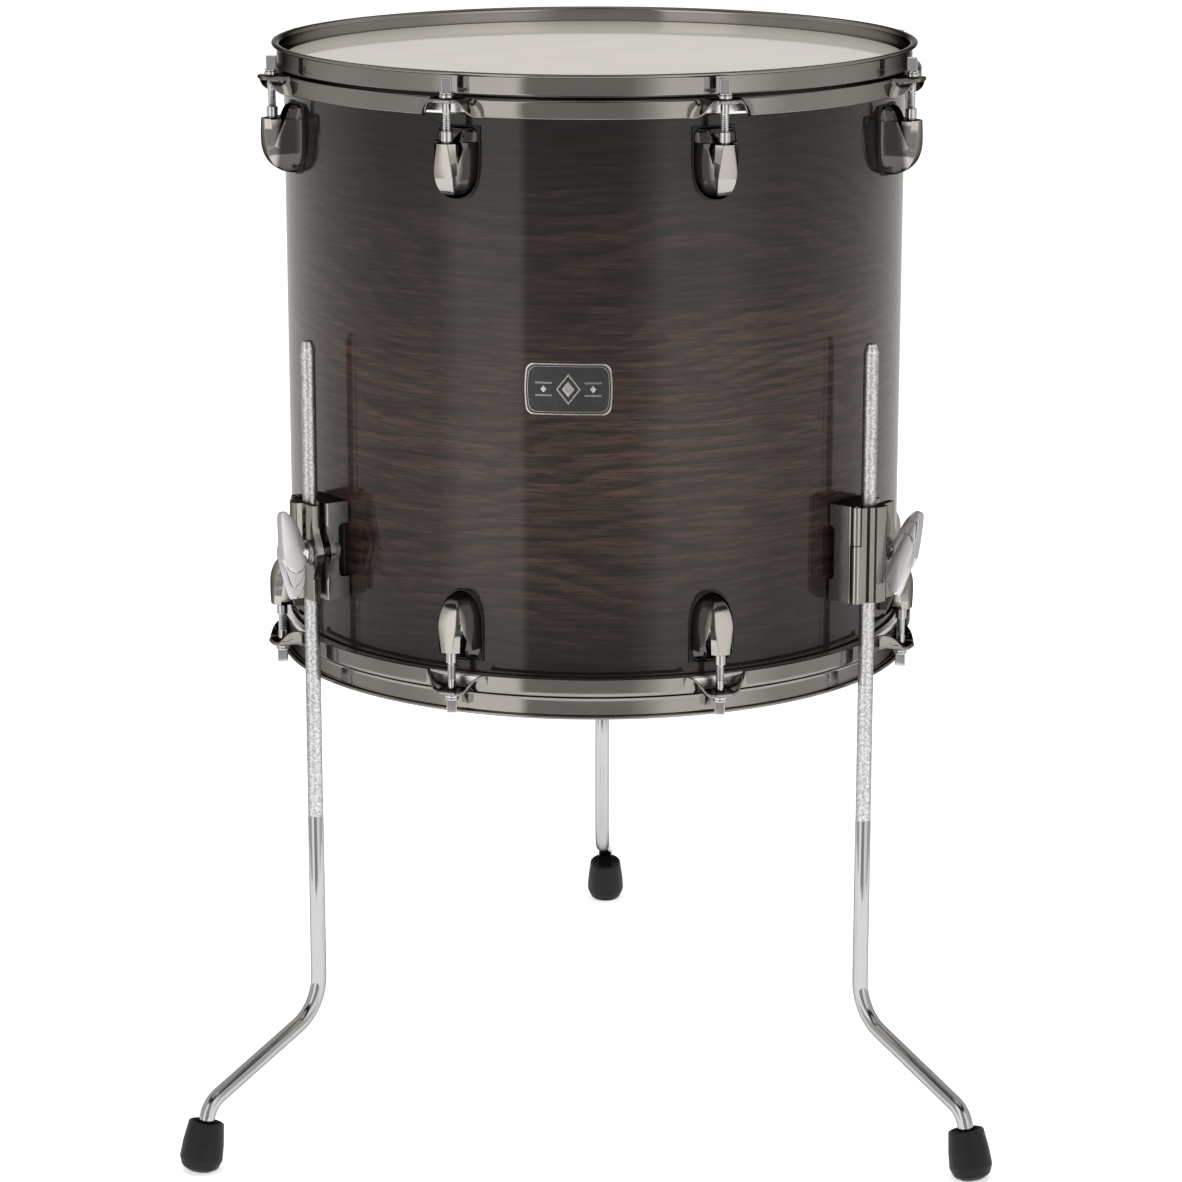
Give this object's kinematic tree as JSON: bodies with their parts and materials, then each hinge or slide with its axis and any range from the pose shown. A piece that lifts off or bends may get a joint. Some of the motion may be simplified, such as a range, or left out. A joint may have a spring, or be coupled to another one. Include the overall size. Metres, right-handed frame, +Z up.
{
  "type": "floor tom drum",
  "caption": "Cylindrical wooden floor tom with double-ended lugs and hoops, key-turned tension rods, and bent legs that slide in hinged clamp brackets.",
  "frame": {"origin": "on the floor, under the middle of the object's bounding box", "axes": "+Z up along the drum's axis, which stands at X = 0, Y = -56.6 mm; the front, with the badge, faces -Y; +X to the right seen from the front"},
  "size_m": [0.5202, 0.5788, 0.7],
  "materials": {
    "oak_shell": "dark stained open-grain oak under high-gloss lacquer",
    "drum_film": "thin translucent film with a faint satin",
    "plain_aluminium": "satin",
    "black_nickel_hoop": "polished black nickel",
    "black_nickel_casting": "polished black nickel on a zinc casting",
    "black_gasket": "matte",
    "black_rubber": "matte moulded",
    "satin_wing": "satin",
    "badge_metal": "dark enamel with a bright edge",
    "zinc_hardware": "zinc plated",
    "chrome_hardware": "polished"
  },
  "bodies": {
    "drum": {"shell": "oak_shell", "badge": "badge_metal", "vent_grommet": "black_gasket", "batter_head": "drum_film", "batter_flesh_hoop": "plain_aluminium", "top_hoop": "black_nickel_hoop", "top_lugs": "black_nickel_casting", "top_swivel_nuts": "chrome_hardware", "top_rod_washers": "chrome_hardware", "resonant_head": "drum_film", "resonant_flesh_hoop": "plain_aluminium", "bottom_hoop": "black_nickel_hoop", "bottom_lugs": "black_nickel_casting", "bottom_swivel_nuts": "chrome_hardware", "bottom_rod_washers": "chrome_hardware", "lug_gaskets": "black_gasket", "lug_screws": "zinc_hardware", "lug_washers": "zinc_hardware", "bracket_gaskets": "black_gasket", "bracket_screws": "zinc_hardware", "bracket_washers": "zinc_hardware", "clamp_nuts": "zinc_hardware", "hinge_pins": "zinc_hardware", "left_bracket": "black_nickel_casting", "right_bracket": "black_nickel_casting", "rear_bracket": "black_nickel_casting"},
    "top_tension_rod_1": {"top_tension_rod_1": "chrome_hardware"},
    "top_tension_rod_2": {"top_tension_rod_2": "chrome_hardware"},
    "top_tension_rod_3": {"top_tension_rod_3": "chrome_hardware"},
    "top_tension_rod_4": {"top_tension_rod_4": "chrome_hardware"},
    "top_tension_rod_5": {"top_tension_rod_5": "chrome_hardware"},
    "top_tension_rod_6": {"top_tension_rod_6": "chrome_hardware"},
    "top_tension_rod_7": {"top_tension_rod_7": "chrome_hardware"},
    "top_tension_rod_8": {"top_tension_rod_8": "chrome_hardware"},
    "bottom_tension_rod_1": {"bottom_tension_rod_1": "chrome_hardware"},
    "bottom_tension_rod_2": {"bottom_tension_rod_2": "chrome_hardware"},
    "bottom_tension_rod_3": {"bottom_tension_rod_3": "chrome_hardware"},
    "bottom_tension_rod_4": {"bottom_tension_rod_4": "chrome_hardware"},
    "bottom_tension_rod_5": {"bottom_tension_rod_5": "chrome_hardware"},
    "bottom_tension_rod_6": {"bottom_tension_rod_6": "chrome_hardware"},
    "bottom_tension_rod_7": {"bottom_tension_rod_7": "chrome_hardware"},
    "bottom_tension_rod_8": {"bottom_tension_rod_8": "chrome_hardware"},
    "left_leg": {"left_leg": "chrome_hardware", "left_foot": "black_rubber"},
    "left_wing_washer": {"left_wing_washer": "satin_wing"},
    "left_wing_bolt": {"left_wing_bolt": "satin_wing"},
    "left_clamp_plate": {"left_clamp_plate": "black_nickel_casting"},
    "right_leg": {"right_leg": "chrome_hardware", "right_foot": "black_rubber"},
    "right_wing_washer": {"right_wing_washer": "satin_wing"},
    "right_wing_bolt": {"right_wing_bolt": "satin_wing"},
    "right_clamp_plate": {"right_clamp_plate": "black_nickel_casting"},
    "rear_leg": {"rear_leg": "chrome_hardware", "rear_foot": "black_rubber"},
    "rear_wing_washer": {"rear_wing_washer": "satin_wing"},
    "rear_wing_bolt": {"rear_wing_bolt": "satin_wing"},
    "rear_clamp_plate": {"rear_clamp_plate": "black_nickel_casting"}
  },
  "joints": [
    {"name": "top_rod_1_turn", "type": "hinge", "parent": "drum", "child": "top_tension_rod_1", "pos_m": [0.08362, -0.25851, 0.69], "axis": [0, 0, 1], "range_deg": [-360, 360]},
    {"name": "top_rod_2_turn", "type": "hinge", "parent": "drum", "child": "top_tension_rod_2", "pos_m": [0.20187, -0.14026, 0.69], "axis": [0, 0, 1], "range_deg": [-360, 360]},
    {"name": "top_rod_3_turn", "type": "hinge", "parent": "drum", "child": "top_tension_rod_3", "pos_m": [0.20187, 0.02697, 0.69], "axis": [0, 0, 1], "range_deg": [-360, 360]},
    {"name": "top_rod_4_turn", "type": "hinge", "parent": "drum", "child": "top_tension_rod_4", "pos_m": [0.08362, 0.14522, 0.69], "axis": [0, 0, 1], "range_deg": [-360, 360]},
    {"name": "top_rod_5_turn", "type": "hinge", "parent": "drum", "child": "top_tension_rod_5", "pos_m": [-0.08362, 0.14522, 0.69], "axis": [0, 0, 1], "range_deg": [-360, 360]},
    {"name": "top_rod_6_turn", "type": "hinge", "parent": "drum", "child": "top_tension_rod_6", "pos_m": [-0.20187, 0.02697, 0.69], "axis": [0, 0, 1], "range_deg": [-360, 360]},
    {"name": "top_rod_7_turn", "type": "hinge", "parent": "drum", "child": "top_tension_rod_7", "pos_m": [-0.20187, -0.14026, 0.69], "axis": [0, 0, 1], "range_deg": [-360, 360]},
    {"name": "top_rod_8_turn", "type": "hinge", "parent": "drum", "child": "top_tension_rod_8", "pos_m": [-0.08362, -0.25851, 0.69], "axis": [0, 0, 1], "range_deg": [-360, 360]},
    {"name": "bottom_rod_1_turn", "type": "hinge", "parent": "drum", "child": "bottom_tension_rod_1", "pos_m": [0.08362, -0.25851, 0.309], "axis": [0, 0, 1], "range_deg": [-360, 360]},
    {"name": "bottom_rod_2_turn", "type": "hinge", "parent": "drum", "child": "bottom_tension_rod_2", "pos_m": [0.20187, -0.14026, 0.309], "axis": [0, 0, 1], "range_deg": [-360, 360]},
    {"name": "bottom_rod_3_turn", "type": "hinge", "parent": "drum", "child": "bottom_tension_rod_3", "pos_m": [0.20187, 0.02697, 0.309], "axis": [0, 0, 1], "range_deg": [-360, 360]},
    {"name": "bottom_rod_4_turn", "type": "hinge", "parent": "drum", "child": "bottom_tension_rod_4", "pos_m": [0.08362, 0.14522, 0.309], "axis": [0, 0, 1], "range_deg": [-360, 360]},
    {"name": "bottom_rod_5_turn", "type": "hinge", "parent": "drum", "child": "bottom_tension_rod_5", "pos_m": [-0.08362, 0.14522, 0.309], "axis": [0, 0, 1], "range_deg": [-360, 360]},
    {"name": "bottom_rod_6_turn", "type": "hinge", "parent": "drum", "child": "bottom_tension_rod_6", "pos_m": [-0.20187, 0.02697, 0.309], "axis": [0, 0, 1], "range_deg": [-360, 360]},
    {"name": "bottom_rod_7_turn", "type": "hinge", "parent": "drum", "child": "bottom_tension_rod_7", "pos_m": [-0.20187, -0.14026, 0.309], "axis": [0, 0, 1], "range_deg": [-360, 360]},
    {"name": "bottom_rod_8_turn", "type": "hinge", "parent": "drum", "child": "bottom_tension_rod_8", "pos_m": [-0.08362, -0.25851, 0.309], "axis": [0, 0, 1], "range_deg": [-360, 360]},
    {"name": "left_leg_height", "type": "slide", "parent": "drum", "child": "left_leg", "axis": [0, 0, 1], "range_m": [-0.085, 0.2]},
    {"name": "left_washer_travel", "type": "slide", "parent": "drum", "child": "left_wing_washer", "axis": [-0.8049, -0.5934, 0], "range_m": [0, 0.00252]},
    {"name": "left_wing_turn", "type": "hinge", "parent": "left_wing_washer", "child": "left_wing_bolt", "pos_m": [-0.18286, -0.20463, 0.3896], "axis": [-0.8049, -0.5934, 0], "range_deg": [0, 720]},
    {"name": "left_clamp_swing", "type": "hinge", "parent": "drum", "child": "left_clamp_plate", "pos_m": [-0.18715, -0.17623, 0.3896], "axis": [0, 0, 1], "range_deg": [-4.05, 0]},
    {"name": "right_leg_height", "type": "slide", "parent": "drum", "child": "right_leg", "axis": [0, 0, 1], "range_m": [-0.085, 0.2]},
    {"name": "right_washer_travel", "type": "slide", "parent": "drum", "child": "right_wing_washer", "axis": [0.8049, -0.5934, 0], "range_m": [0, 0.00252]},
    {"name": "right_wing_turn", "type": "hinge", "parent": "right_wing_washer", "child": "right_wing_bolt", "pos_m": [0.19544, -0.18757, 0.3896], "axis": [0.8049, -0.5934, 0], "range_deg": [0, 720]},
    {"name": "right_clamp_swing", "type": "hinge", "parent": "drum", "child": "right_clamp_plate", "pos_m": [0.16958, -0.20006, 0.3896], "axis": [0, 0, 1], "range_deg": [-4.05, 0]},
    {"name": "rear_leg_height", "type": "slide", "parent": "drum", "child": "rear_leg", "axis": [0, 0, 1], "range_m": [-0.085, 0.2]},
    {"name": "rear_washer_travel", "type": "slide", "parent": "drum", "child": "rear_wing_washer", "axis": [0, 1, 0], "range_m": [0, 0.00252]},
    {"name": "rear_wing_turn", "type": "hinge", "parent": "rear_wing_washer", "child": "rear_wing_bolt", "pos_m": [-0.0106, 0.17836, 0.3896], "axis": [0, 1, 0], "range_deg": [0, 720]},
    {"name": "rear_clamp_swing", "type": "hinge", "parent": "drum", "child": "rear_clamp_plate", "pos_m": [0.0148, 0.16496, 0.3896], "axis": [0, 0, 1], "range_deg": [-4.05, 0]}
  ],
  "couplings": [
    {"joint": "left_washer_travel", "follows": "left_wing_turn", "m_per_rad": 0.00019894},
    {"joint": "left_clamp_swing", "follows": "left_wing_turn", "ratio": -0.0055556},
    {"joint": "right_washer_travel", "follows": "right_wing_turn", "m_per_rad": 0.00019894},
    {"joint": "right_clamp_swing", "follows": "right_wing_turn", "ratio": -0.0055556},
    {"joint": "rear_washer_travel", "follows": "rear_wing_turn", "m_per_rad": 0.00019894},
    {"joint": "rear_clamp_swing", "follows": "rear_wing_turn", "ratio": -0.0055556}
  ]
}
